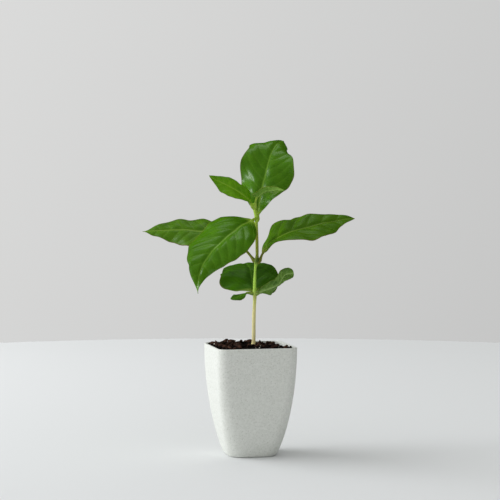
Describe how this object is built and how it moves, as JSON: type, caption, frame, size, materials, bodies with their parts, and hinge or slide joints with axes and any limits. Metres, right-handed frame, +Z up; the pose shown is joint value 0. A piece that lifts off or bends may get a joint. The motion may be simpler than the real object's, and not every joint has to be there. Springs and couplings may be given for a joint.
{
  "type": "potted coffee plant",
  "caption": "Young coffee plant with broad pointed leaves in opposite pairs on one slim stem, standing in a small rounded-square pot of potting mix.",
  "frame": {"origin": "centre of the pot's flat underside, on the surface that it stands on", "axes": "+Z up along the pot and the stem; the pot's four walls face along +X, -X, +Y and -Y; +X runs roughly along the widest spread of the leaves"},
  "size_m": [0.1478, 0.081, 0.2243],
  "materials": {
    "pot_composite": "moulded plant-fibre composite, off-white with fine grey speckles, satin matt",
    "potting_mix": "dark moist peat and bark crumbs with a few white perlite grains, matt",
    "stem_bark": "smooth green young bark, straw brown at the foot, satin",
    "leaf_blade": "waxy dark green upper side with paler veins, matt paler underside",
    "young_blade": "glossy light green, unfolding"
  },
  "bodies": {
    "root": {"pot": "pot_composite", "soil": "potting_mix", "stem": "stem_bark", "leaf_first_back": "leaf_blade", "leaf_first_right": "leaf_blade", "leaf_first_left": "leaf_blade", "leaf_second_left": "leaf_blade", "leaf_second_right": "leaf_blade", "leaf_third_front": "leaf_blade", "leaf_third_back": "leaf_blade", "leaf_top_left": "young_blade", "leaf_top_right": "young_blade"}
  },
  "joints": []
}
